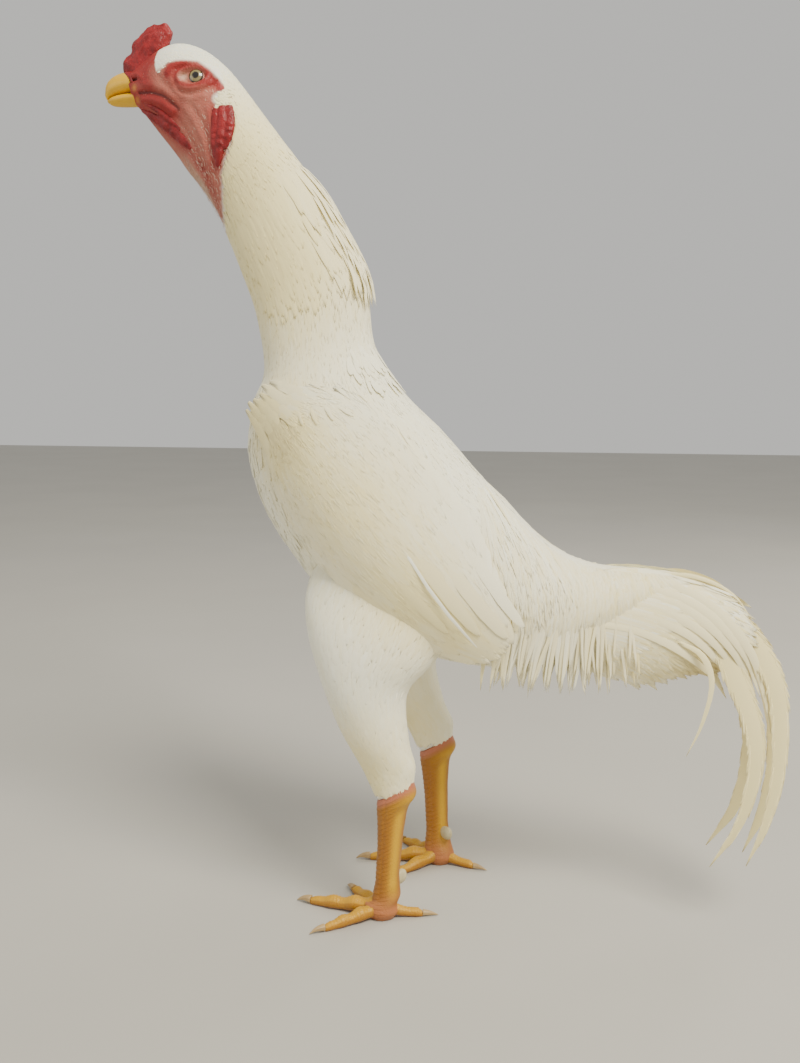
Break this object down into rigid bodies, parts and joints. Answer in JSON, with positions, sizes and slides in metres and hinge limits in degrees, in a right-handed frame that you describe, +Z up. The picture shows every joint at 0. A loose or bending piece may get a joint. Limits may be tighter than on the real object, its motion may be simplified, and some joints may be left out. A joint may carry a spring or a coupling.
{
  "type": "shamo chicken",
  "caption": "Life-size shamo cock standing upright on two scaled legs, with long bare-throated neck, folded wings, saddle hackles and drooping sickle tail.",
  "frame": {"origin": "on the floor under the middle of the bird's outline from beak to tail", "axes": "-X ahead, towards the beak, +Y to the bird's right, +Z up"},
  "size_m": [0.5552, 0.189, 0.7134],
  "materials": {
    "plumage": "matte",
    "face": "matte",
    "comb": "satin",
    "beak": "satin",
    "leg": "satin",
    "horn": "satin",
    "eye": "gloss"
  },
  "bodies": {
    "root": {"beak_lower": "beak", "beak_upper": "beak", "claw_left_back": "horn", "claw_left_inner": "horn", "claw_left_middle": "horn", "claw_left_outer": "horn", "claw_right_back": "horn", "claw_right_inner": "horn", "claw_right_middle": "horn", "claw_right_outer": "horn", "comb": "comb", "drumstick_left": "plumage", "drumstick_right": "plumage", "ear_left": "plumage", "ear_right": "plumage", "earlobe_left": "comb", "earlobe_right": "comb", "eye_left": "eye", "eye_right": "eye", "head": "face", "neck": "plumage", "saddle": "plumage", "shank_left": "leg", "shank_right": "leg", "sickle_left_inner_1": "plumage", "sickle_left_inner_2": "plumage", "sickle_left_outer_1": "plumage", "sickle_left_outer_2": "plumage", "sickle_right_inner_1": "plumage", "sickle_right_inner_2": "plumage", "sickle_right_outer_1": "plumage", "sickle_right_outer_2": "plumage", "spur_left": "horn", "spur_right": "horn", "tail": "plumage", "thigh_left": "plumage", "thigh_right": "plumage", "toe_left_back": "leg", "toe_left_inner": "leg", "toe_left_middle": "leg", "toe_left_outer": "leg", "toe_right_back": "leg", "toe_right_inner": "leg", "toe_right_middle": "leg", "toe_right_outer": "leg", "torso": "plumage", "wattle_left": "comb", "wattle_right": "comb", "wing_left": "plumage", "wing_right": "plumage"}
  },
  "joints": []
}
